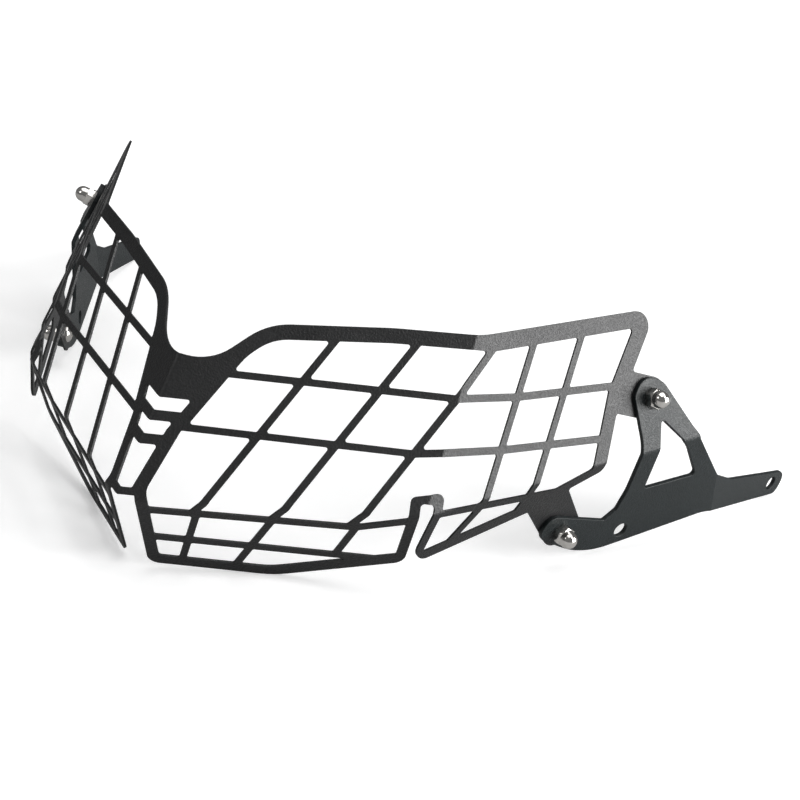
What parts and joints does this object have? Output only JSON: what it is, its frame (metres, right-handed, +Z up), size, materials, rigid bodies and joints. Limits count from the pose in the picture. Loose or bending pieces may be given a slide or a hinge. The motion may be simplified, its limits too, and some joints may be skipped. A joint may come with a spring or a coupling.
{
  "type": "motorcycle headlight guard",
  "caption": "Folded steel grille that shields a motorcycle headlight, with a bent mounting bracket bolted behind each outer edge.",
  "frame": {"origin": "centre of the footprint, on the surface that the guard stands on", "axes": "+X to one side across the guard, -Y to the front, where the ridge points, +Z up"},
  "size_m": [0.4744, 0.338, 0.1309],
  "materials": {
    "grille_coat": "fine-textured matt powder coat",
    "bracket_coat": "fine-textured matt powder coat",
    "stainless": "polished stainless"
  },
  "bodies": {
    "root": {"guard_grille": "grille_coat", "bracket_right": "bracket_coat", "bracket_left": "bracket_coat", "cap_nuts": "stainless", "button_screws": "stainless"}
  },
  "joints": []
}
